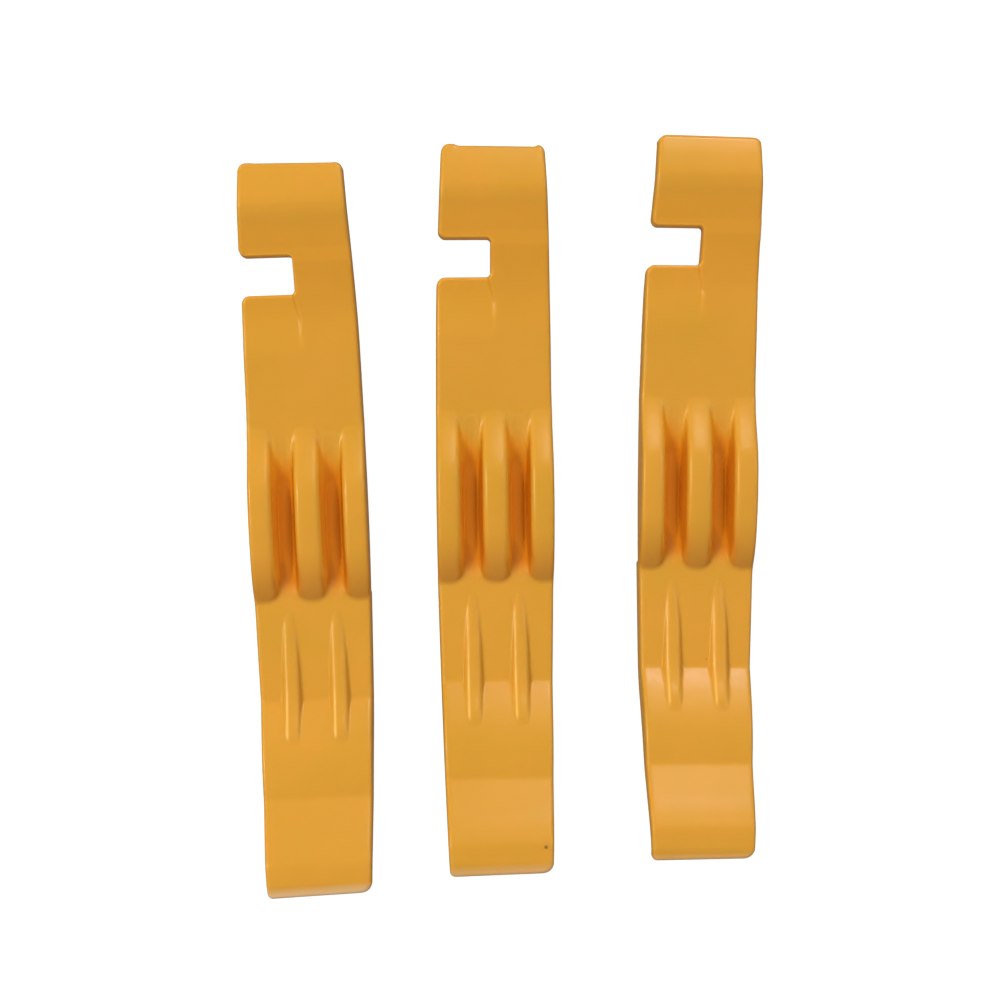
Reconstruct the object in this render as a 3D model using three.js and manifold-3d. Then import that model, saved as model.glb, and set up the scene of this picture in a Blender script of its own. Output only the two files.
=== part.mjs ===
// Set of three identical one-piece plastic bicycle tyre levers, lying side by side.
// Millimetres, +Z up. The levers lie on z = 0, spoke-hook end towards +Y, spoon tip towards -Y.
// Left is -X and right is +X. Each lever is shaped about its own origin, then placed.
import * as THREE from 'three';
import { mergeVertices } from 'three/addons/utils/BufferGeometryUtils.js';
import Module from 'manifold-3d';

const wasm = await Module();
wasm.setup();

// ---------------------------------------------------------------- stations along a lever
const LENGTH = 118.6;
const STATIONS = 118; // s = 0 at the hook end, s = STATIONS at the spoon tip, evenly spread
const yAt = (s) => LENGTH * (0.5 - s / STATIONS);

// ---------------------------------------------------------------- plan outline
// [s, half width]
const HALF_WIDTH = [
  [0, 8.42], [5, 8.68], [10, 8.94], [15, 9.18], [20, 9.38], [25, 9.54],
  [30, 9.64], [40, 9.76], [50, 9.88], [58, 9.92], [66, 9.88], [74, 9.76],
  [82, 9.6], [90, 9.42], [98, 9.21], [106, 8.95], [112, 8.72], [118, 8.47],
];
// stations where the outline has a point, besides its corners
const LEFT_ABOVE_NOTCH = [5, 9.5];
const LEFT_BELOW_NOTCH = [28, 35, 43, 52, 60, 68, 76, 84, 92, 100, 108];
const RIGHT_FROM_TIP = [108, 100, 92, 84, 76, 68, 60, 52, 43, 35, 28, 20, 12, 6];
const END_SKEW = 0.14; // in stations: the right side is shorter by this at each end, the left longer
const CORNER_RADIUS = { headLeft: 1.3, headRight: 1.1, tipLeft: 0.9, tipRight: 1.6 };
const CORNER_STEPS = 5;

// spoke hook: a notch cut in from the left edge
const NOTCH_S0 = 14.6;
const NOTCH_S1 = 20.45;
const NOTCH_X = -0.5; // inner wall
const NOTCH_RADIUS = { mouthHead: 1.3, inner: 0.6, mouthBelow: 1.6 };

// ---------------------------------------------------------------- side profile
// [s, z] runs that meet in sharp creases
const TOP_RUNS = [
  [
    [-0.3, 13.55], [0, 13.6], [1.6, 13.85], [3.2, 14.05], [6.3, 14.2], [8.2, 13.85],
    [10.0, 13.15], [14.6, 11.2], [20.3, 8.8], [24.1, 7.6], [30.1, 6.6], [36.2, 5.7],
    [42.3, 4.9], [49.5, 4.3], [56.8, 3.9], [64.0, 3.6], [71.2, 3.4],
  ],
  [[71.2, 3.4], [87.5, 3.4]],
  [
    [87.5, 3.4], [89.3, 4.37], [91.2, 5.26], [93.6, 6.19], [96.6, 7.06], [99.5, 7.58],
    [102.9, 7.8],
  ],
  [
    [102.9, 7.8], [103.6, 8.1], [107.2, 9.72], [110.9, 11.4], [113.2, 12.1], [115.7, 12.15],
    [118, 11.55], [118.3, 11.45],
  ],
];
const BOTTOM_RUNS = [
  [
    [-0.3, 11.0], [3.2, 11.5], [6.3, 11.5], [10.0, 10.4], [14.6, 8.4], [20.3, 6.0],
    [24.1, 4.6], [30.1, 3.4], [36.2, 2.4], [42.3, 1.5],
  ],
  [[42.3, 1.5], [43.9, 0.3], [44.6, 0]],
  [[44.6, 0], [87.8, 0]],
  [
    [87.8, 0], [90.7, 0.6], [93.6, 1.8], [96.6, 3.1], [99.5, 4.1], [103.6, 5.2],
    [107.2, 6.9], [110.9, 8.8], [113.7, 10.0], [115.7, 10.3], [118, 10.0], [118.3, 9.95],
  ],
];
const TOP_SPACING = 2.6; // aimed-at spacing of the sampled points, in stations
const BOTTOM_SPACING = 2.8;

// prisms run past the lever, and the plan outline trims them or the cut passes clear
const PAST_SIDE = 12;
const PAST_TOP = 20;
const BELOW_PLAN = -2;

// ---------------------------------------------------------------- features on the top
// three fins standing on the concave face: one down the middle, one along each side
const FIN_TOP = [ // [s, z]
  [41.8, 3.0], [42.3, 4.88], [43.1, 5.05], [45.0, 5.4], [47.0, 5.92], [49.0, 6.53],
  [51.0, 7.08], [52.5, 7.28], [54.0, 7.34], [56.8, 7.28], [60.8, 6.9], [63.9, 6.38],
  [66.5, 5.72], [68.6, 4.87], [70.0, 4.1], [71.0, 3.4], [71.3, 3.0],
];
const FIN_BASE = [[71.0, 2.6], [42.1, 2.6]]; // [s, z], sunk into the plate
const FIN_SPACING = 1.5;
const FIN_MIDDLE_HALF = 2.1;
const FIN_OUTER_X = 5.9; // inner faces of the side fins

// two slots between the fins, with concave floors
const SLOT_FLOOR = [ // [s, z]
  [43.0, 4.95], [46.0, 4.25], [48.0, 3.65], [50.0, 2.9], [52.0, 2.2], [54.0, 1.65],
  [56.0, 1.34], [58.0, 1.25], [61.5, 1.25], [63.5, 1.5], [66.0, 2.2], [68.5, 2.98],
  [70.6, 3.55],
];
const SLOT_OPEN = [[70.6, 9], [43.0, 9]]; // [s, z], closes the cut above the fins
const SLOT_SPACING = 2.2;
const SLOT_X = 4.0;
const SLOT_HALF = 1.9;

// two low ribs running on from the slots, rising towards the spoon
const RIB_TOP = [ // [s, z]
  [72.9, 3.1], [73.1, 3.45], [75.2, 3.68], [80.0, 4.02], [87.3, 4.6], [89.5, 5.1],
  [91.5, 5.82], [93.0, 6.2], [94.3, 6.4],
];
const RIB_BASE = [[94.3, 5.4], [93.6, 4.4], [88.6, 2.6], [72.9, 2.6]]; // [s, z], inside the plate
const RIB_X = 3.95;
const RIB_HALF = 1.3;

// step on the left, from the notch fading out to STEP_S1
const STEP_DROP = 0.8; // depth at the notch
const STEP_LEAD_IN = 1; // stations the cut starts before the notch's lower wall
const STEP_S1 = 30.2;
const STEP_PARTS = 5;

// ---------------------------------------------------------------- features underneath
// pocket under the grip, cleared everywhere but on two runners; [s, z], closed
const POCKET = [[42.3, 1.5], [45.8, 1.5], [68.7, 1.5], [69.7, -1], [42.3, -1]];
const RUNNER_X = 4.0;
const RUNNER_HALF = 1.8;

// grooves under the two ribs, with rising roofs; [s, z], closed
const GROOVE = [
  [75.4, 0.9], [76.4, 1.4], [87.3, 2.3], [91.2, 2.9], [93.1, 2.6], [94.1, -1], [75.4, -1],
];
const GROOVE_HALF = 1.8;

// ---------------------------------------------------------------- placing and colour
const PLACES = {
  left_lever: { x: -31.57, y: -4.70, turnDegrees: 2.28 },
  middle_lever: { x: -0.5, y: -1.65, turnDegrees: 0.75 },
  right_lever: { x: 33.68, y: 0.53, turnDegrees: -0.36 },
};
const PLASTIC = {
  color: new THREE.Color(0.73, 0.34, 0.035), // warm yellow, linear RGB
  roughness: 0.42, // slightly glossy
  metalness: 0,
};

// ---------------------------------------------------------------- curves
// Monotone cubic through [s, value] points, held constant beyond both ends.
function monotone(points) {
  const last = points.length - 1;
  const at = points.map(([s]) => s);
  const value = points.map(([, v]) => v);
  const gap = [];
  const slope = [];
  for (let i = 0; i < last; i++) {
    gap.push(at[i + 1] - at[i]);
    slope.push((value[i + 1] - value[i]) / gap[i]);
  }

  // a point's tangent is the weighted harmonic mean of its slopes, or 0 at a turning point
  const tangent = new Array(last + 1).fill(0);
  tangent[0] = slope[0];
  tangent[last] = slope[last - 1];
  for (let i = 1; i < last; i++) {
    if (slope[i - 1] * slope[i] > 0) {
      const before = 2 * gap[i] + gap[i - 1];
      const after = gap[i] + 2 * gap[i - 1];
      tangent[i] = (before + after) / (before / slope[i - 1] + after / slope[i]);
    }
  }

  return (s) => {
    if (s <= at[0]) return value[0];
    if (s >= at[last]) return value[last];
    let i = 0;
    while (s > at[i + 1]) i++;
    const u = (s - at[i]) / gap[i];
    const u2 = u * u;
    const u3 = u2 * u;
    return (2 * u3 - 3 * u2 + 1) * value[i]
      + (u3 - 2 * u2 + u) * gap[i] * tangent[i]
      + (-2 * u3 + 3 * u2) * value[i + 1]
      + (u3 - u2) * gap[i] * tangent[i + 1];
  };
}

// Evenly spaced points on the curve through a run; a two-point run stays a single line.
function sampleRun(run, spacing) {
  const curve = monotone(run);
  const start = run[0][0];
  const span = run.at(-1)[0] - start;
  const count = run.length === 2 ? 1 : Math.max(2, Math.round(span / spacing));
  return Array.from({ length: count + 1 }, (_, i) => {
    const s = start + span * i / count;
    return [s, curve(s)];
  });
}

// Runs joined end to end, each shared crease point kept once.
function sampleRuns(runs, spacing) {
  return runs.flatMap((run, i) => sampleRun(run, spacing).slice(i === 0 ? 0 : 1));
}

// Replaces each corner that has a radius by an arc.
function roundCorners(corners) {
  return corners.flatMap(({ x, y, radius }, i) => {
    if (!radius) return [[x, y]];
    const corner = new THREE.Vector2(x, y);
    const towards = (other) => new THREE.Vector2(other.x, other.y).sub(corner).normalize();
    const back = towards(corners.at(i - 1));
    const ahead = towards(corners[(i + 1) % corners.length]);
    const halfAngle = Math.acos(THREE.MathUtils.clamp(back.dot(ahead), -1, 1)) / 2;
    const reach = radius / Math.tan(halfAngle);
    const centre = back.clone().add(ahead).normalize()
      .multiplyScalar(radius / Math.sin(halfAngle)).add(corner);
    const angleTo = (side) => {
      const touch = side.clone().multiplyScalar(reach).add(corner).sub(centre);
      return Math.atan2(touch.y, touch.x);
    };
    const from = angleTo(back);
    let sweep = angleTo(ahead) - from;
    if (sweep > Math.PI) sweep -= 2 * Math.PI;
    if (sweep < -Math.PI) sweep += 2 * Math.PI;
    return Array.from({ length: CORNER_STEPS + 1 }, (_, k) => {
      const angle = from + sweep * k / CORNER_STEPS;
      return [centre.x + radius * Math.cos(angle), centre.y + radius * Math.sin(angle)];
    });
  });
}

// ---------------------------------------------------------------- solids
function extrude(points, depth) {
  const shape = new THREE.Shape(points.map(([x, y]) => new THREE.Vector2(x, y)));
  return new THREE.ExtrudeGeometry(shape, { depth, bevelEnabled: false });
}

function toSolid(geometry) {
  // without normals and uvs, vertices that share a position merge into a closed mesh
  geometry.deleteAttribute('normal');
  geometry.deleteAttribute('uv');
  const merged = mergeVertices(geometry, 1e-5);
  return new wasm.Manifold(new wasm.Mesh({
    numProp: 3,
    vertProperties: new Float32Array(merged.attributes.position.array),
    triVerts: new Uint32Array(merged.index.array),
  }));
}

// Closed outline of [s, z] points, pushed through from x0 to x1.
function sidePrism(points, x0, x1) {
  const geometry = extrude(points.map(([s, z]) => [yAt(s), z]), x1 - x0);
  const turn = new THREE.Matrix4().makeBasis(
    new THREE.Vector3(0, 1, 0),
    new THREE.Vector3(0, 0, 1),
    new THREE.Vector3(1, 0, 0),
  );
  turn.setPosition(x0, 0, 0);
  geometry.applyMatrix4(turn);
  return toSolid(geometry);
}

// Closed outline of [x, y] points, pushed through from z0 to z1.
function planPrism(points, z0, z1) {
  return toSolid(extrude(points, z1 - z0).translate(0, 0, z0));
}

// Two prisms centred on -x and +x.
function pair(points, x, half) {
  return [-x, x].map((centre) => sidePrism(points, centre - half, centre + half));
}

// A middle prism, and one on each side from outerX outwards.
function middleAndSides(points, middleHalf, outerX) {
  return [
    sidePrism(points, -PAST_SIDE, -outerX),
    sidePrism(points, -middleHalf, middleHalf),
    sidePrism(points, outerX, PAST_SIDE),
  ];
}

const addAll = (solid, parts) => parts.reduce((sum, part) => sum.add(part), solid);
const cutAll = (solid, parts) => parts.reduce((rest, part) => rest.subtract(part), solid);

// ---------------------------------------------------------------- parts of the lever
// Counter-clockwise from the left corner at the hook end.
function planOutline() {
  const halfWidth = monotone(HALF_WIDTH);
  const left = (s, radius, skew = 0) => ({ x: -halfWidth(s), y: yAt(s + skew), radius });
  const right = (s, radius, skew = 0) => ({ x: halfWidth(s), y: yAt(s + skew), radius });
  return roundCorners([
    left(0, CORNER_RADIUS.headLeft, -END_SKEW),
    ...LEFT_ABOVE_NOTCH.map((s) => left(s)),
    left(NOTCH_S0, NOTCH_RADIUS.mouthHead),
    { x: NOTCH_X, y: yAt(NOTCH_S0), radius: NOTCH_RADIUS.inner },
    { x: NOTCH_X, y: yAt(NOTCH_S1), radius: NOTCH_RADIUS.inner },
    left(NOTCH_S1, NOTCH_RADIUS.mouthBelow),
    ...LEFT_BELOW_NOTCH.map((s) => left(s)),
    left(STATIONS, CORNER_RADIUS.tipLeft, END_SKEW),
    right(STATIONS, CORNER_RADIUS.tipRight, -END_SKEW),
    ...RIGHT_FROM_TIP.map((s) => right(s)),
    right(0, CORNER_RADIUS.headRight, END_SKEW),
  ]);
}

function plate() {
  const top = sampleRuns(TOP_RUNS, TOP_SPACING);
  const bottom = sampleRuns(BOTTOM_RUNS, BOTTOM_SPACING);
  return sidePrism([...top, ...bottom.reverse()], -PAST_SIDE, PAST_SIDE);
}

function fins() {
  const profile = [...sampleRun(FIN_TOP, FIN_SPACING), ...FIN_BASE];
  return middleAndSides(profile, FIN_MIDDLE_HALF, FIN_OUTER_X);
}

function slots() {
  return pair([...sampleRun(SLOT_FLOOR, SLOT_SPACING), ...SLOT_OPEN], SLOT_X, SLOT_HALF);
}

// Everything above the step, whose depth tapers from STEP_DROP at the notch to nothing.
function stepCut() {
  const topZ = monotone(TOP_RUNS[0]);
  const start = NOTCH_S1 - STEP_LEAD_IN;
  const profile = [];
  for (let i = 0; i <= STEP_PARTS; i++) {
    const s = start + (STEP_S1 - start) * i / STEP_PARTS;
    profile.push([s, topZ(s) - STEP_DROP * (STEP_S1 - s) / (STEP_S1 - NOTCH_S1)]);
  }
  profile.push([STEP_S1, PAST_TOP], [start, PAST_TOP]);
  return sidePrism(profile, -PAST_SIDE, NOTCH_X);
}

function makeLever() {
  let lever = addAll(plate(), fins());
  lever = cutAll(lever, slots());
  lever = addAll(lever, pair([...RIB_TOP, ...RIB_BASE], RIB_X, RIB_HALF));
  lever = cutAll(lever, [
    ...middleAndSides(POCKET, RUNNER_X - RUNNER_HALF, RUNNER_X + RUNNER_HALF),
    ...pair(GROOVE, RIB_X, GROOVE_HALF),
    stepCut(),
  ]);
  return lever.intersect(planPrism(planOutline(), BELOW_PLAN, PAST_TOP));
}

function toGeometry(solid) {
  const mesh = solid.getMesh();
  const geometry = new THREE.BufferGeometry();
  geometry.setAttribute('position', new THREE.Float32BufferAttribute(mesh.vertProperties, 3));
  geometry.setIndex(new THREE.Uint32BufferAttribute(mesh.triVerts, 1));
  geometry.computeVertexNormals();
  return geometry;
}

// ---------------------------------------------------------------- the set
const group = new THREE.Group();
const leverGeometry = toGeometry(makeLever());
for (const [name, { x, y, turnDegrees }] of Object.entries(PLACES)) {
  const mesh = new THREE.Mesh(leverGeometry, new THREE.MeshStandardMaterial(PLASTIC));
  mesh.name = name;
  mesh.position.set(x, y, 0);
  mesh.rotation.z = THREE.MathUtils.degToRad(turnDegrees);
  group.add(mesh);
}

// the set's footprint is centred on the origin
group.updateMatrixWorld(true);
const centre = new THREE.Box3().setFromObject(group, true).getCenter(new THREE.Vector3());
group.position.set(-centre.x, -centre.y, 0);

export default group;
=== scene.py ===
"""Three moulded plastic tyre levers lying side by side on a white floor, seen from above.

Each lever lies flat along its own y axis and is modelled in millimetres: x across, z up.
Stations s run from the spoke-hook end (s = 0, +y) to the spoon tip (s = 118, -y).
"""
import math
from itertools import product

import bpy
import numpy as np
from mathutils import Matrix, Vector


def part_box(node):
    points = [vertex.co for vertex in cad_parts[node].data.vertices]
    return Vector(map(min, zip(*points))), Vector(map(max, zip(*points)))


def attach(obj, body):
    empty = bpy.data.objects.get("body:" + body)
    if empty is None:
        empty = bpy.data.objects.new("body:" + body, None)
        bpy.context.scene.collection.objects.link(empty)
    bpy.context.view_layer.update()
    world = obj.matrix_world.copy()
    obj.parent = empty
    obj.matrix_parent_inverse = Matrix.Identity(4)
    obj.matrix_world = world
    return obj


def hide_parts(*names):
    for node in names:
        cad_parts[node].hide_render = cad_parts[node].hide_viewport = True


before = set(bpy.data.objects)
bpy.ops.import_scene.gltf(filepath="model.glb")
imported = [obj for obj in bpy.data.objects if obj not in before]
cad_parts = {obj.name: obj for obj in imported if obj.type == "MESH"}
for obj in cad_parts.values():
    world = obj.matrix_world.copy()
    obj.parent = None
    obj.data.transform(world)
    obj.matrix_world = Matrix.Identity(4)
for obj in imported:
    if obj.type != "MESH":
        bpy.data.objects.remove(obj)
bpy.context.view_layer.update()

# ------------------------------------------------------------------ lever dimensions, mm
LENGTH = 118.6
STATIONS = 118.0
SPREAD = LENGTH / STATIONS  # length of one station
CELL = 0.28  # grid cell of the surface mesh
MARGIN_Y = 0.7  # grid beyond each end of the lever

SLOT_X = 4.0  # centre of each slot and pocket, either side of the middle
GROOVE_X = 3.95
RIB_X = (-4.0, 3.95)
FIN_END = 71.4  # station
NOTCH = (14.6, 20.45)  # stations of the spoke notch, open to -x
NOTCH_SPLIT = 17.5  # station near its middle, where edge treatments change
TIP_SKEW = 0.018  # slant of the tip across x

# Ejector pin marks on the underside: x, station, radius
EJECTORS = [(3.6, 9.0, 1.6), (0.0, 35.0, 1.9), (0.0, 99.0, 1.9)]

# Profiles: (station, value). Separate runs meet at a crease.
HALF_WIDTH = [
    (0, 8.42), (5, 8.68), (10, 8.94), (15, 9.18), (20, 9.38), (25, 9.54), (30, 9.64),
    (40, 9.76), (50, 9.88), (58, 9.92), (66, 9.88), (74, 9.76), (82, 9.6), (90, 9.42),
    (98, 9.21), (106, 8.95), (112, 8.72), (118, 8.47)]
# the parabola where the plate starts to rise into the spoon
RISE = [0.7 * k for k in range(23)]
TOP_RUNS = [
    [(0, 13.6), (1.6, 13.85), (3.2, 14.05), (6.3, 14.2), (8.2, 13.85), (10.0, 13.15),
     (14.6, 11.2), (20.3, 8.8), (24.1, 7.6), (30.1, 6.6), (36.2, 5.7), (42.3, 4.9),
     (49.5, 4.3), (56.8, 3.9), (64.0, 3.6), (71.2, 3.4)],
    [(71.2, 3.4), (87.5, 3.4)],
    [(87.5 + d, 3.4 + 0.571 * (d - d**2 / 30.8)) for d in RISE],
    [(102.9, 7.8), (103.6, 8.1), (107.2, 9.72), (110.9, 11.4), (113.2, 12.1),
     (115.7, 12.15), (118, 11.55)]]
BOTTOM_RUNS = [
    [(0, 11.0), (3.2, 11.5), (6.3, 11.5), (10.0, 10.4), (14.6, 8.4), (20.3, 6.0),
     (24.1, 4.6), (30.1, 3.4), (36.2, 2.4), (42.3, 1.5)],
    [(42.3, 1.5), (43.9, 0.3), (44.6, 0)],
    [(44.6, 0), (87.8, 0)],
    [(87.8, 0), (90.7, 0.6), (93.6, 1.8), (96.6, 3.1), (99.5, 4.1), (103.6, 5.2),
     (107.2, 6.9), (110.9, 8.8), (113.7, 10.0), (115.7, 10.3), (118, 10.0)]]
FIN_TOP = [
    (41.2, 4.5), (42.2, 4.82), (43.1, 5.05), (45.0, 5.4), (47.0, 5.92), (49.0, 6.53),
    (51.0, 7.08), (52.5, 7.28), (54.0, 7.34), (56.8, 7.28), (60.8, 6.9), (63.9, 6.38),
    (66.5, 5.72), (68.6, 4.87), (70.0, 4.1), (71.0, 3.5), (71.5, 3.1)]
SLOT_FLOOR = [
    (42.4, 5.1), (44.0, 4.72), (46.0, 4.25), (48.0, 3.65), (50.0, 2.9), (52.0, 2.2),
    (54.0, 1.65), (56.0, 1.34), (58.0, 1.25), (61.5, 1.25), (63.5, 1.5), (66.0, 2.2),
    (68.5, 2.98), (71.0, 3.7), (71.6, 3.87)]
RIB_TOP = [
    (72.4, 3.3), (73.6, 3.52), (75.2, 3.68), (80.0, 4.02), (87.3, 4.6), (89.5, 5.1),
    (91.5, 5.82), (93.0, 6.2), (94.2, 6.33), (95.2, 6.3)]
GROOVE_ROOF = [(75.4, 0.9), (76.4, 1.4), (87.3, 2.3), (91.2, 2.9), (93.1, 2.6), (94.0, 1.6)]

# Per lever, in mm: place (x, y) and turn in degrees; then the length and strength of the painted
# highlight strip along the spoon tip; flash = how far the corners and the middle of the hook end
# stand out; gloom = how dark the right slot walls are painted; specks = dark marks (x, y, radius).
LEVERS = {
    "left_lever": dict(place=(-31.57, -4.70), turn=2.28, tip_sheen=(2.0, 1.0),
                       flash=(0.08, 0.02), gloom=0.75, specks=()),
    "middle_lever": dict(place=(-0.5, -1.65), turn=0.75, tip_sheen=(2.0, 0.6),
                         flash=(0.28, 0.0), gloom=0.75, specks=[(7.2, -54.67, 0.42)]),
    "right_lever": dict(place=(33.68, 0.53), turn=-0.36, tip_sheen=(1.3, 0.5),
                        flash=(-0.2, -0.18), gloom=0.45, specks=[(1.8, -27.3, 0.12)]),
}


# ------------------------------------------------------------------ profiles
STEP = 0.02
GRID = np.arange(-4, 122 + STEP / 2, STEP)
MAX_SLOPE = 6


def monotone(points, query):
    """Monotone cubic through (station, value) points."""
    knots, values = np.array(points, float).T
    query = np.clip(query, knots[0], knots[-1])
    gap = np.diff(knots)
    slope = np.diff(values) / gap
    tangent = np.zeros(len(knots))
    tangent[0], tangent[-1] = slope[0], slope[-1]
    for i in range(1, len(knots) - 1):
        if slope[i - 1] * slope[i] > 0:
            before, after = 2 * gap[i] + gap[i - 1], gap[i] + 2 * gap[i - 1]
            tangent[i] = (before + after) / (before / slope[i - 1] + after / slope[i])
    i = np.clip(np.searchsorted(knots, query, side="right") - 1, 0, len(knots) - 2)
    u = (query - knots[i]) / gap[i]
    return ((2 * u**3 - 3 * u**2 + 1) * values[i] + (u**3 - 2 * u**2 + u) * gap[i] * tangent[i]
            + (-2 * u**3 + 3 * u**2) * values[i + 1] + (u**3 - u**2) * gap[i] * tangent[i + 1])


def blur(values, sigma):
    reach = int(round(4 * sigma / STEP))
    kernel = np.exp(-0.5 * (np.arange(-reach, reach + 1) * STEP / sigma) ** 2)
    kernel /= kernel.sum()
    return np.convolve(np.pad(values, reach, mode="edge"), kernel, mode="valid")


def profile(runs, outside=None, soften=0.0):
    """Values over GRID, and the scale that turns a height above them into a distance.

    Beyond the runs the end value holds, or `outside` if given.
    """
    values = np.full_like(GRID, np.nan)
    for run in runs:
        covered = (GRID >= run[0][0]) & (GRID <= run[-1][0])
        values[covered] = monotone(run, GRID[covered])
    first, last = values[~np.isnan(values)][[0, -1]]
    values[GRID < runs[0][0][0]] = first if outside is None else outside
    values[GRID > runs[-1][-1][0]] = last if outside is None else outside
    # rounding can leave a grid point between two runs
    gaps = np.isnan(values)
    values[gaps] = np.interp(GRID[gaps], GRID[~gaps], values[~gaps])
    if soften:
        values = blur(values, soften)
    slope = np.clip(np.gradient(values, STEP), -MAX_SLOPE, MAX_SLOPE)
    return values, 1 / np.sqrt(1 + slope * slope)


TOP = profile(TOP_RUNS, soften=0.22)
BOTTOM = profile(BOTTOM_RUNS, soften=0.25)
FIN = profile([FIN_TOP], outside=2.4, soften=0.25)
SLOT = profile([SLOT_FLOOR], outside=30.0, soften=0.04)
RIB = profile([RIB_TOP], outside=2.6, soften=0.15)
GROOVE = profile([GROOVE_ROOF], outside=-1.5, soften=0.12)
WIDTH = profile([HALF_WIDTH])


def sample(tables, s):
    """A profile's value and distance scale at stations s."""
    place = (s - GRID[0]) / STEP
    i = np.clip(place.astype(np.int64), 0, len(GRID) - 2)
    f = np.clip(place - i, 0, 1)
    return [t[i] * (1 - f) + t[i + 1] * f for t in tables]


def station(y):
    return STATIONS / 2 - y / SPREAD


# ------------------------------------------------------------------ solid as a distance field
def intersect(a, b, radius):
    """Intersection with a round outside edge."""
    return (np.minimum(-radius, np.maximum(a, b))
            + np.hypot(np.maximum(a + radius, 0), np.maximum(b + radius, 0)))


def unite(a, b, radius):
    """Union with a round inside corner."""
    return (np.maximum(radius, np.minimum(a, b))
            - np.hypot(np.maximum(radius - a, 0), np.maximum(radius - b, 0)))


def smooth(t):
    t = np.clip(t, 0, 1)
    return t * t * (3 - 2 * t)


def rise(v, start, span):
    """0 up to `start`, easing to 1 over `span`."""
    return smooth((v - start) / span)


def fade(v, end, span):
    """1, easing over `span` to 0 at `end`."""
    return smooth((end - v) / span)


def plate_top(x, z, s):
    height, scale = sample(TOP, s)
    # from the notch towards the tip the -x side sits lower, by less and less
    drop = 0.75 * np.clip(1 - (s - NOTCH[1]) / 9.7, 0, 1) * (s > NOTCH_SPLIT)
    drop_edge = np.minimum(-0.75 + 0.24 * (s - 21.0), 0.1)
    drop_blend = 0.5 + 0.12 * np.clip(s - 22, 0, 6)
    height = height - drop * smooth((drop_edge - x) / drop_blend + 0.5)
    return (z - height) * scale


def slots_and_fins(top, ax, z, s):
    """Two slots cut into the plate, narrowing to a rounded floor, and three fins beside them."""
    half_width, floor_radius = 2.1, 1.75
    flank = 0.13 * np.clip(5.2 - z, 0, 5)
    floor_z, scale = sample(SLOT, s)
    slot = intersect((floor_z - z) * scale, np.abs(ax - SLOT_X) - half_width + flank,
                     floor_radius)
    top = intersect(top, -slot, 0.25)

    middle_edge, outer_edge, outer_crest = 2.1, 5.9, 8.0
    crown, end_radius = 0.035, 2.3
    height, scale = sample(FIN, s)
    lean = 0.05 * (6.8 - z) + flank
    middle = intersect(ax - middle_edge - lean, s - FIN_END, end_radius)
    outer = intersect(outer_edge - lean - ax, s - FIN_END, end_radius)
    fins = [intersect((z - height + crown * (ax - crest)**2) * scale, sides, 0.8)
            for sides, crest in ((middle, 0.0), (outer, outer_crest))]
    return unite(top, np.minimum(*fins), 0.35)


def ribs(x, z, s):
    """Two ribs that keep their width and sink into the rising spoon."""
    half_width, side_slope, side_scale = 1.14, 0.45, 0.92
    height, scale = sample(RIB, s)
    off = x - np.where(x < 0, *RIB_X)
    # towards the hook the right side of each rib is lower
    height = height - 0.32 * fade(s, 82.0, 8.0) * smooth((off + 0.2) / 1.6)
    sides = (np.abs(off) - half_width - side_slope * (height - z)) * side_scale
    return intersect((z - height) * scale, sides, np.where(off < 0, 0.7, 0.5))


def underside(x, ax, z, s):
    """Bottom with ejector marks, pockets under the slots and grooves under the ribs."""
    base, scale = sample(BOTTOM, s)
    mark_depth, mark_blend = 0.14, 0.3
    marks = sum(mark_depth * smooth((r - np.hypot(x - mx, s - ms)) / mark_blend + 0.5)
                for mx, ms, r in EJECTORS)
    bottom = (base + marks - z) * scale

    pocket_roof, pocket_start, pocket_end = 1.5, 41.0, 69.7
    pocket = intersect(z - pocket_roof,
                       1.8 + 0.08 * (pocket_roof - z) - np.abs(ax - SLOT_X), 0.3)
    pocket = intersect(pocket, np.maximum(s - pocket_end, pocket_start - s), 0.5)
    bottom = intersect(bottom, -pocket, 0.35)

    roof, scale = sample(GROOVE, s)
    groove = intersect((z - roof) * scale, np.abs(ax - GROOVE_X) - 1.75 + 0.1 * z, 0.4)
    return intersect(bottom, -groove, 0.3)


def outline(x, ax, z, s):
    """Drafted plan outline with rounded corners and the notch."""
    base, half_width = sample(BOTTOM, s)[0], sample(WIDTH, s)[0]
    draft = 0.045 - 0.025 * rise(s, 38, 6) * fade(s, 74, 6)
    side = ax - (half_width - draft * np.clip(z - base, -0.5, 8))
    hook_end = (0.26 + 0.016 * x - s) * SPREAD
    tip_end = (s - STATIONS + TIP_SKEW * x) * SPREAD
    plan = intersect(side, hook_end, np.where(x < 0, 1.3, 1.15))
    plan = intersect(plan, tip_end, np.where(x < 0, 0.9, 1.7))
    notch = intersect(np.maximum(NOTCH[0] - s, s - NOTCH[1]), x + 0.5, 0.6)
    return intersect(plan, -notch, np.where(s < NOTCH_SPLIT, 1.3, 1.35))


def lever_field(x, y, z):
    """Signed distance to the lever in mm, negative inside."""
    s = station(y)
    ax = np.abs(x)
    top = slots_and_fins(plate_top(x, z, s), ax, z, s)
    top = unite(top, ribs(x, z, s), 0.15)
    # the top edge is crisper just before and in the notch
    edge_radius = 0.6 - 0.3 * rise(s, 12.4, 1.6) * fade(s, NOTCH_SPLIT, 1.5)
    body = intersect(top, outline(x, ax, z, s), edge_radius)
    return intersect(body, underside(x, ax, z, s), 0.4)


def shifted(points, axis, distance):
    """The field at points moved along one axis."""
    moved = points.copy()
    moved[:, axis] += distance
    return lever_field(*moved.T)


def gradient(points, reach=0.01):
    return np.stack([(shifted(points, k, reach) - shifted(points, k, -reach)) / (2 * reach)
                     for k in range(3)], 1)


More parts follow.
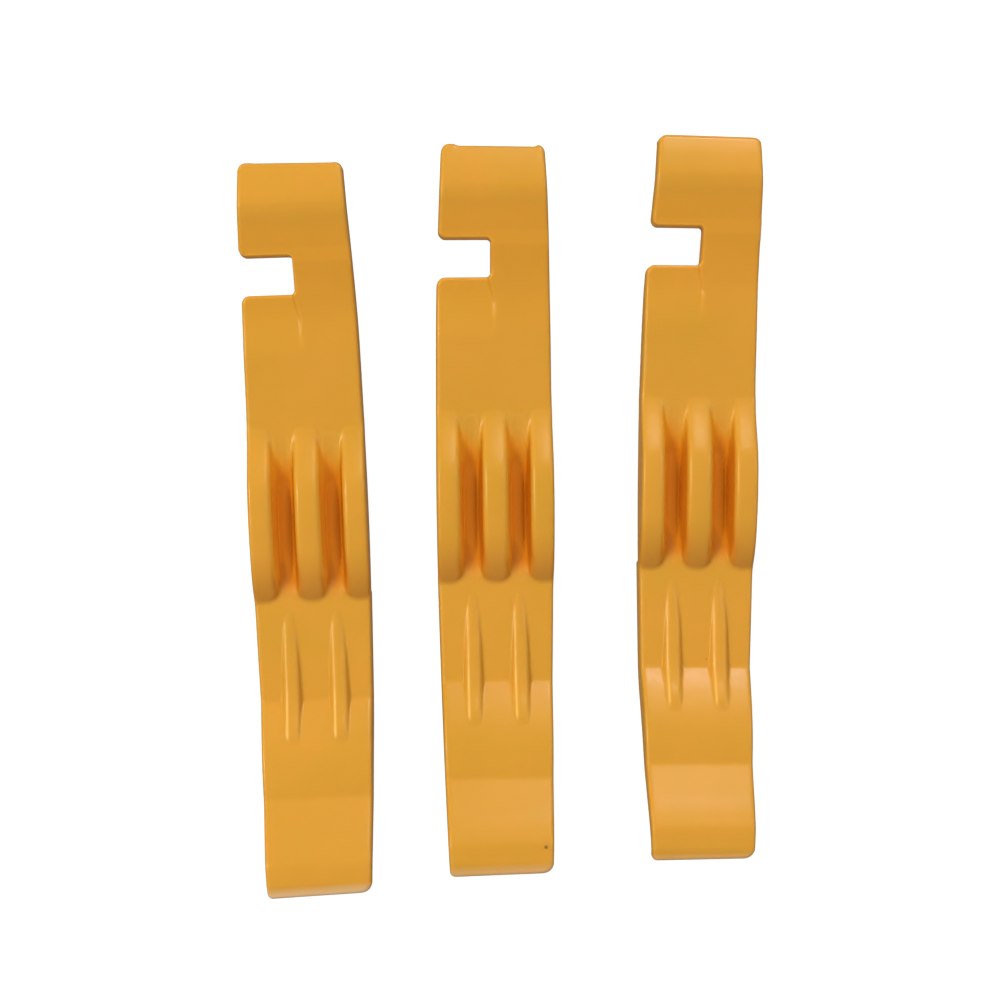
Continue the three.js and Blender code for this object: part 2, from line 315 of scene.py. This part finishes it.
def curvature(points, reach=0.18):
    """Laplacian of the field: positive on outside edges, negative in corners."""
    total = -6 * lever_field(*points.T)
    for axis, sign in product(range(3), (-1, 1)):
        total += shifted(points, axis, sign * reach)
    return total / (reach * reach)


# ------------------------------------------------------------------ mesh from the field
def surface_nets():
    """Vertices and quads: one vertex in each grid cell the surface crosses."""
    low = np.array([-10.6, -LENGTH / 2 - MARGIN_Y, -0.6])
    high = np.array([10.6, LENGTH / 2 + MARGIN_Y, 15.0])
    counts = np.ceil((high - low) / CELL).astype(int) + 1
    axes = [low[k] + CELL * np.arange(counts[k]) for k in range(3)]
    field = np.empty(counts)
    slab = 48  # grid rows worked out at once, to save memory
    for start in range(0, counts[1], slab):
        rows = slice(start, start + slab)
        field[:, rows] = lever_field(*np.meshgrid(axes[0], axes[1][rows], axes[2], indexing="ij"))

    inside = field < 0
    ones = inside.astype(np.int8)
    nx, ny, nz = counts - 1
    corners = sum(ones[i:nx + i, j:ny + j, k:nz + k] for i, j, k in product((0, 1), repeat=3))
    cells = np.argwhere((corners > 0) & (corners < 8))
    ids = np.full(corners.shape, -1)
    ids[tuple(cells.T)] = np.arange(len(cells))

    # each vertex starts at the mean of the crossings on its cell's edges
    total = np.zeros((len(cells), 3))
    crossings = np.zeros(len(cells))
    for axis, u, v in product(range(3), (0, 1), (0, 1)):
        start, end = np.insert([u, v], axis, 0), np.insert([u, v], axis, 1)
        a = field[tuple((cells + start).T)]
        b = field[tuple((cells + end).T)]
        cut = (a < 0) != (b < 0)
        crossing = np.tile(start.astype(float), (len(cells), 1))
        crossing[:, axis] += a / np.where(cut, a - b, 1)
        total[cut] += crossing[cut]
        crossings[cut] += 1
    points = low + CELL * (cells + total / crossings[:, None])

    # one quad around each grid edge that crosses the surface
    faces = []
    for axis in range(3):
        edges = np.argwhere(np.diff(inside, axis=axis))
        side_a, side_b = np.eye(3, dtype=int)[[(axis + 1) % 3, (axis + 2) % 3]]
        quads = np.stack([ids[tuple((edges - a * side_a - b * side_b).T)]
                          for a, b in ((1, 1), (0, 1), (0, 0), (1, 0))], 1)
        flip = ~inside[tuple(edges.T)]
        quads[flip] = quads[flip][:, ::-1]
        faces.append(quads)
    return settle(points), np.concatenate(faces)


def settle(points, rounds=4):
    """Moves points onto the exact surface in short steps."""
    for _ in range(rounds):
        g = gradient(points)
        move = (lever_field(*points.T) / np.maximum((g * g).sum(1), 0.2))[:, None] * g
        size = np.linalg.norm(move, axis=1, keepdims=True)
        points = points - move * np.minimum(1, 0.4 * CELL / np.maximum(size, 1e-9))
    return points


def paint_masks(points):
    """Point attributes that the plastic is painted by."""
    x, y, z = points.T
    s = station(y)
    base = sample(BOTTOM, s)[0]
    bend = curvature(points) / 2.5
    cavity = np.clip(-bend, 0, 1)
    _, facing_y, facing_z = gradient(points).T
    across = x - np.where(x < 0, -SLOT_X, SLOT_X)  # from the nearer slot's centre
    upper = facing_z > -0.3

    # the slots' inside, where bounced light and shade are painted
    well_start = 43.2 + 4.5 * np.clip((across + 1.7) / 3.2, 0, 1)
    well = (fade(z, 7.2, 3.0) * fade(np.abs(across), 3.0, 0.9)
            * rise(s, well_start, 4.5) * fade(s, FIN_END, 5.0) * upper)
    shade = np.maximum(rise(across, -2.2, 4.2) * rise(s, 43.0, 8.0), rise(s, 61.0, 7.0))
    # the long slot walls: painted light on the left one, painted shade on the right one
    wall = (fade(facing_z, 0.93, 0.4) * upper * fade(np.abs(across), 3.4, 0.5)
            * rise(z, 2.2, 1.5) * rise(s, 44.5, 5.0) * fade(s, 70.5, 5.0))
    # the notch wall that faces the tip gets painted light too
    notch_wall = rise(-facing_y, 0.3, 0.4) * rise(s, 13.2, 0.6) * (s < 15.5) * (z > 7.5)
    # painted shade at the lower slot ends and on the fin ends
    end_shade = np.clip((s - 62.5) / 8.5, 0, 1) * (s < 72.2) * rise(z, 3.45, 0.4) * upper
    # where the painted highlight runs along the ribs
    ridge = 0.75 * (0.25 * rise(s, 75.0, 4.0) + 0.75 * rise(s, 84.0, 8.0))
    # painted light in the slot floor's crease along the right wall
    crease_light = (well * np.clip((cavity - 0.05) / 0.25, 0, 1) * rise(facing_z, 0.4, 0.3)
              * rise(across, 0.2, 0.9) * rise(s, 47.0, 8.0) * fade(s, 69.0, 8.0))
    return {
        "edge": np.clip(bend, 0, 1),
        "cavity": cavity,
        "parting": z - base - 0.9,
        # distance to the tip; the underside counts as far away
        "tip": np.where(z > base + 0.3, STATIONS - s - TIP_SKEW * x, 50.0),
        "well": well,
        "shade": shade,
        "painted_end_shade": end_shade,
        "painted_wall_light": wall * (across < -1.2) + notch_wall,
        "gloom": wall * (across > 1.2) * fade(z, 6.3, 1.2),
        # painted shading on the hook head's slope
        "head_shading": rise(s, 8.0, 4.0) * fade(s, 32.0, 16.0) * (facing_z > 0.3),
        "ridge": ridge * fade(s, 94.0, 1.4) * (facing_z > 0.2),
        "crease_light": crease_light,
    }


POINTS, FACES = surface_nets()
MASKS = paint_masks(POINTS)


def lever_mesh(name, flash):
    mesh = bpy.data.meshes.new(name)
    places = POINTS.copy()
    x, y, _ = POINTS.T
    corner = rise(np.abs(x), np.where(x < 0, 5.6, 6.6), 0.8)
    at_corner, at_middle = flash
    places[:, 1] += (at_middle + (at_corner - at_middle) * corner) * fade(station(y), 2.2, 1.8)
    mesh.vertices.add(len(places))
    mesh.vertices.foreach_set("co", (places / 1000).astype(np.float32).ravel())
    mesh.loops.add(FACES.size)
    mesh.loops.foreach_set("vertex_index", FACES.astype(np.int32).ravel())
    mesh.polygons.add(len(FACES))
    mesh.polygons.foreach_set("loop_start", (np.arange(len(FACES)) * 4).astype(np.int32))
    mesh.polygons.foreach_set("loop_total", np.full(len(FACES), 4, np.int32))
    mesh.update(calc_edges=True)
    mesh.validate()
    mesh.polygons.foreach_set("use_smooth", np.ones(len(mesh.polygons), bool))
    for key, values in MASKS.items():
        attribute = mesh.attributes.new(key, "FLOAT", "POINT")
        attribute.data.foreach_set("value", values.astype(np.float32))
    mesh.update()
    return mesh


# ------------------------------------------------------------------ moulded plastic
class Kit:
    """Adds linked shader nodes to one node tree."""

    def __init__(self, tree):
        self.tree = tree

    def add(self, kind, inputs, **settings):
        node = self.tree.nodes.new("ShaderNode" + kind)
        for key, setting in settings.items():
            setattr(node, key, setting)
        self.feed(node, inputs)
        return node

    def feed(self, node, inputs):
        for key, value in inputs.items():
            if isinstance(value, bpy.types.NodeSocket):
                self.tree.links.new(value, node.inputs[key])
            else:
                node.inputs[key].default_value = value

    def place_by(self, seed):
        """Object coordinates, and a copy moved by the seed for the noises."""
        self.object = self.add("TexCoord", {}).outputs["Object"]
        offset = (seed * 0.371, seed * 0.193, seed * 0.127)
        self.moved = self.add("Mapping", {"Vector": self.object, "Location": offset}).outputs[0]

    def noise(self, scale, detail, rough, stretch=None):
        vector = self.moved
        if stretch:
            vector = self.add("Mapping", {"Vector": vector, "Scale": stretch}).outputs[0]
        return self.add("TexNoise", {"Vector": vector, "Scale": scale, "Detail": detail,
                                     "Roughness": rough}).outputs["Fac"]

    def ramp(self, source, low, high, start=0.0, end=1.0):
        """Maps low..high to start..end, clamped."""
        return self.add("MapRange", {"Value": source, "From Min": low, "From Max": high,
                                     "To Min": start, "To Max": end}, clamp=True).outputs["Result"]

    def math(self, operation, *values):
        return self.add("Math", dict(enumerate(values)), operation=operation).outputs[0]

    def times(self, a, b):
        return self.math("MULTIPLY", a, b)

    def mix(self, amount, under, over):
        under, over = [(*c, 1) if isinstance(c, tuple) else c for c in (under, over)]
        # the colour sockets of a Mix node: inputs 6 and 7, output 2
        return self.add("Mix", {0: amount, 6: under, 7: over}, data_type="RGBA").outputs[2]

    def attr(self, key):
        return self.add("Attribute", {}, attribute_name=key).outputs["Fac"]


def rib_lines(kit):
    """Thin painted highlight lines along the left edges of the ribs, in metres."""
    x = kit.add("SeparateXYZ", {0: kit.object}).outputs[0]
    left, right = [kit.math("ABSOLUTE", kit.math("ADD", x, shift)) for shift in (0.00485, -0.0031)]
    line = kit.ramp(kit.math("MINIMUM", left, right), low=0.00006, high=0.0003, start=1.0, end=0.0)
    return kit.times(line, kit.attr("ridge"))


def speck(kit, x, y, radius):
    """A small round mark with a wobbly rim, seen from above; sizes in mm."""
    flat = kit.add("VectorMath", {0: kit.object, 1: (1, 1, 0)}, operation="MULTIPLY").outputs[0]
    away = kit.add("VectorMath", {0: flat, 1: (x / 1000, y / 1000, 0)}, operation="DISTANCE")
    wobble = kit.times(kit.noise(scale=2500, detail=2, rough=0.6), radius / 1000)
    return kit.ramp(kit.math("ADD", away.outputs["Value"], wobble),
                    low=radius * 1.5 / 1000, high=radius * 0.9 / 1000, end=0.75)


def nylon_colour(kit, rubbed, tip_sheen, gloom, specks):
    attr, noise, ramp, times = kit.attr, kit.noise, kit.ramp, kit.times
    # slow drift between a slightly greener and a slightly redder yellow
    colour = kit.mix(ramp(noise(scale=55, detail=3, rough=0.55), low=0.3, high=0.7),
                     (0.665, 0.312, 0.016), (0.735, 0.322, 0.024))
    # length and strength of the painted highlight along the spoon tip
    tip_length, tip_strength = tip_sheen
    tip_highlight = times(ramp(attr("tip"), low=tip_length, high=0.15, end=tip_strength),
                    ramp(noise(scale=300, detail=3, rough=0.6), low=0.2, high=0.5, start=0.85))
    # painted bounced light in the slots, turning to painted shade towards the right wall and the
    # lower end
    slot_light_and_shade = kit.mix(attr("shade"), (1.0, 0.39, 0.010), (0.61, 0.168, 0.003))
    # layers from the bottom up: amount, colour
    layers = [
        # faint flow marks
        (ramp(noise(scale=210, detail=4, rough=0.6), low=0.35, high=0.75, end=0.35),
         (0.66, 0.325, 0.014)),
        # rubbed outside edges, and a painted highlight along the spoon tip, broken up by noise
        (rubbed, (0.74, 0.47, 0.17)),
        (tip_highlight, (0.86, 0.56, 0.29)),
        # painted shade in the inside corners
        (times(ramp(attr("cavity"), low=0.2, high=1.0), 0.10), (0.42, 0.15, 0.012)),
        # painted shade at the slot ends and fin ends, painted shading on the hook head's slope,
        # and the deep orange of light bounced between slot walls, painted in
        (attr("painted_end_shade"), (0.58, 0.228, 0.010)),
        (times(attr("head_shading"), 0.45), (0.80, 0.33, 0.012)),
        (times(attr("well"), 0.8), slot_light_and_shade),
        # painted light on the left slot walls and the notch wall, painted shade on the right slot
        # walls, painted light in the slot floor's crease
        (times(attr("painted_wall_light"), 0.75), (1.0, 0.47, 0.03)),
        (times(attr("gloom"), gloom), (0.46, 0.12, 0.002)),
        (times(attr("crease_light"), 0.45), (1.0, 0.43, 0.012)),
        # stands in for the highlight on the ribs
        (rib_lines(kit), (0.92, 0.52, 0.10)),
    ]
    layers += [(speck(kit, *mark), (0.10, 0.035, 0.01)) for mark in specks]
    for amount, over in layers:
        colour = kit.mix(amount, colour, over)
    return colour


def nylon_roughness(kit, rubbed):
    """Satin, duller in the slots and where rubbed."""
    satin = kit.ramp(kit.noise(scale=900, detail=4, rough=0.6),
                     low=0.3, high=0.7, start=0.28, end=0.34)
    satin = kit.math("ADD", satin, kit.times(kit.attr("well"), 0.3))
    return kit.math("ADD", satin, kit.times(rubbed, 0.3))


def nylon_relief(kit):
    """Orange peel, gentle sink, fine scratches and the mould's parting line."""
    peel = kit.times(kit.noise(scale=1500, detail=2, rough=0.5), 0.25)
    sink = kit.times(kit.noise(scale=160, detail=2, rough=0.5), 1.0)
    height = kit.math("ADD", peel, sink)
    # scratches along, then across: noise stretch, ramp, depth
    for stretch, low, high, depth in (((2600, 110, 800), 0.62, 0.74, 0.06),
                                      ((140, 3000, 800), 0.64, 0.76, 0.05)):
        scratch = kit.ramp(kit.noise(scale=1.0, detail=3, rough=0.6, stretch=stretch), low, high)
        height = kit.math("SUBTRACT", height, kit.times(scratch, depth))
    parting = kit.math("ABSOLUTE", kit.attr("parting"))
    line = kit.ramp(parting, low=0.0, high=0.12, start=1.0, end=0.0)
    height = kit.math("ADD", height, kit.times(line, 0.3))
    return kit.add("Bump", {"Strength": 0.35, "Distance": 0.0001, "Height": height}).outputs[0]


def plastic(name, seed, tip_sheen, gloom, specks):
    material = bpy.data.materials.new(name)
    material.use_nodes = True
    material.node_tree.nodes.clear()
    kit = Kit(material.node_tree)
    output = kit.add("OutputMaterial", {})
    shader = kit.add("BsdfPrincipled", {})
    kit.feed(output, {0: shader.outputs[0]})
    kit.place_by(seed)
    patches = kit.ramp(kit.noise(scale=420, detail=5, rough=0.65), low=0.42, high=0.68)
    edges = kit.ramp(kit.attr("edge"), low=0.25, high=0.9)
    rubbed = kit.times(kit.times(edges, patches), 0.22)
    kit.feed(shader, {
        "Base Color": nylon_colour(kit, rubbed, tip_sheen, gloom, specks),
        "Roughness": nylon_roughness(kit, rubbed),
        "IOR": 1.5,
        "Specular IOR Level": kit.ramp(kit.attr("well"), low=0.0, high=1.0, start=0.42, end=0.22),
        "Subsurface Weight": 0.22,
        "Subsurface Radius": (1.0, 0.35, 0.06),
        "Subsurface Scale": 0.0009,
        "Normal": nylon_relief(kit),
    })
    return material


# ------------------------------------------------------------------ place the levers
def frame_shift():
    """Shift in mm that centres the middle lever on its CAD piece."""
    low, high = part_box("middle_lever")
    lever = LEVERS["middle_lever"]
    turn = math.radians(lever["turn"])
    cos, sin = math.cos(turn), math.sin(turn)
    x, y, _ = POINTS.T
    turned = (x * cos - y * sin, x * sin + y * cos)
    return Vector([(low[k] + high[k]) * 500 - (turned[k].min() + turned[k].max()) / 2
                   - lever["place"][k] for k in range(2)] + [0])


shift = frame_shift()
for seed, (piece, lever) in enumerate(LEVERS.items(), start=1):
    obj = bpy.data.objects.new(piece + "_moulding", lever_mesh(piece + "_mesh", lever["flash"]))
    bpy.context.scene.collection.objects.link(obj)
    x, y = lever["place"]
    obj.rotation_euler = (0, 0, math.radians(lever["turn"]))
    obj.location = ((x + shift.x) / 1000, (y + shift.y) / 1000, 0)
    obj.data.materials.append(
        plastic("nylon_" + piece, seed, lever["tip_sheen"], lever["gloom"], lever["specks"]))
    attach(obj, piece)
    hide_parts(piece)


# ------------------------------------------------------------------ floor, light, camera (metres)
def add_floor():
    """A glowing white floor that casts no light on the levers."""
    bpy.ops.mesh.primitive_plane_add(size=6, location=(0, 0, 0))
    floor = bpy.context.object
    floor.name = "floor"
    paper = bpy.data.materials.new("paper_white")
    paper.use_nodes = True
    Kit(paper.node_tree).feed(paper.node_tree.nodes["Principled BSDF"], {
        "Base Color": (0.25, 0.25, 0.25, 1),
        "Roughness": 0.9,
        "Specular IOR Level": 0.1,
        "Emission Color": (1, 1, 1, 1),
        "Emission Strength": 0.9,
    })
    floor.data.materials.append(paper)
    floor.visible_glossy = False
    floor.visible_diffuse = False


def add_world():
    """An even white tent above, dim below the table edge."""
    scene = bpy.context.scene
    world = scene.world or bpy.data.worlds.new("studio")
    scene.world = world
    world.use_nodes = True
    kit = Kit(world.node_tree)
    direction = kit.add("TexCoord", {}).outputs["Generated"]
    height = kit.add("SeparateXYZ", {0: direction}).outputs["Z"]
    strength = kit.ramp(height, low=-0.25, high=0.45, start=0.16, end=0.56)
    kit.feed(world.node_tree.nodes["Background"], {0: (1, 1, 1, 1), 1: strength})


def area(name, place, size, power, colour=(1, 1, 1), diffuse=True, glossy=True):
    """A rectangular light aimed at the origin."""
    data = bpy.data.lights.new(name, "AREA")
    data.shape = "RECTANGLE"
    data.size, data.size_y = size
    data.energy = power
    data.color = colour
    light = bpy.data.objects.new(name, data)
    bpy.context.scene.collection.objects.link(light)
    light.location = place
    light.rotation_euler = (-Vector(place)).to_track_quat("-Z", "Y").to_euler()
    light.visible_diffuse = diffuse
    light.visible_glossy = glossy


def add_camera():
    """Looks almost straight down, with +y up in the picture."""
    data = bpy.data.cameras.new("camera")
    camera = bpy.data.objects.new("camera", data)
    bpy.context.scene.collection.objects.link(camera)
    eye = Vector((-10.13 + shift.x, 0.0 + shift.y, 242.08)) / 1000
    target = Vector((0.45 + shift.x, 0.2 + shift.y, 0.0)) / 1000
    forward = (target - eye).normalized()
    right = forward.cross(Vector((0, 1, 0))).normalized()
    up = right.cross(forward)
    camera.matrix_world = Matrix((right, up, -forward)).transposed().to_4x4()
    camera.matrix_world.translation = eye
    data.sensor_width = 36
    data.lens = 51.06888
    data.clip_start = 0.005
    bpy.context.scene.camera = camera


add_floor()
add_world()
WARM = (1.0, 0.86, 0.55)
area("key", (-0.72, 0.44, 0.91), size=(0.42, 0.42), power=8.6, glossy=False)
area("left_strip", (-0.62, 0.04, 0.48), size=(0.05, 0.24), power=1.8, colour=WARM, diffuse=False)
area("right_spot", (0.42, 0.12, 0.52), size=(0.05, 0.05), power=0.35, colour=WARM, diffuse=False)
area("far_spot", (0.22, 0.71, 0.66), size=(0.11, 0.11), power=1.6)
area("far_soft", (0.19, 0.52, 0.84), size=(0.20, 0.16), power=0.55, colour=(1.0, 0.92, 0.55),
     diffuse=False)
add_camera()
bpy.context.scene.view_settings.view_transform = "Standard"
bpy.context.scene.view_settings.look = "None"
